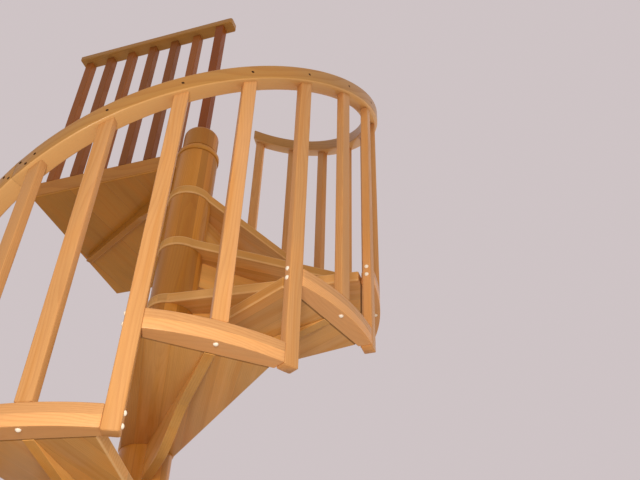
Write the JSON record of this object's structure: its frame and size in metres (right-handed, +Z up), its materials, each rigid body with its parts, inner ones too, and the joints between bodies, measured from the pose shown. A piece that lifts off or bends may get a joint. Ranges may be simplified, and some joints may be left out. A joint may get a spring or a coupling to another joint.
{
  "type": "spiral staircase",
  "caption": "Left-winding wooden spiral staircase round a turned column, with wedge treads on brackets, square balusters, a helical handrail and a guarded landing.",
  "frame": {"origin": "centre of the column's foot, on the floor", "axes": "+Z up along the column; the landing reaches out along -X and +Y, its guard rail lies along -X"},
  "size_m": [1.4446, 1.403, 3.955],
  "materials": {
    "drum_wood": "glossy varnish over glued staves of darker and lighter pine",
    "tread_wood": "glossy varnish",
    "rim_wood": "satin varnish",
    "baluster_wood": "satin varnish",
    "rail_wood": "satin varnish",
    "guard_wood": "satin varnish"
  },
  "bodies": {
    "root": {"column_drums": "drum_wood", "column_cap": "drum_wood", "newel_post": "guard_wood", "tread_1": "tread_wood", "tread_2": "tread_wood", "tread_3": "tread_wood", "tread_4": "tread_wood", "tread_5": "tread_wood", "tread_6": "tread_wood", "tread_7": "tread_wood", "tread_8": "tread_wood", "tread_9": "tread_wood", "tread_10": "tread_wood", "tread_11": "tread_wood", "tread_12": "tread_wood", "rim_block_1": "rim_wood", "rim_block_2": "rim_wood", "rim_block_3": "rim_wood", "rim_block_4": "rim_wood", "rim_block_5": "rim_wood", "rim_block_6": "rim_wood", "rim_block_7": "rim_wood", "rim_block_8": "rim_wood", "rim_block_9": "rim_wood", "rim_block_10": "rim_wood", "rim_block_11": "rim_wood", "rim_block_12": "rim_wood", "tread_brackets": "tread_wood", "long_balusters": "baluster_wood", "short_balusters": "baluster_wood", "handrail": "rail_wood", "handrail_lower": "rail_wood", "landing_board": "tread_wood", "landing_kerb": "tread_wood", "landing_bracket": "guard_wood", "guard_rail": "rail_wood", "guard_balusters": "guard_wood"}
  },
  "joints": []
}
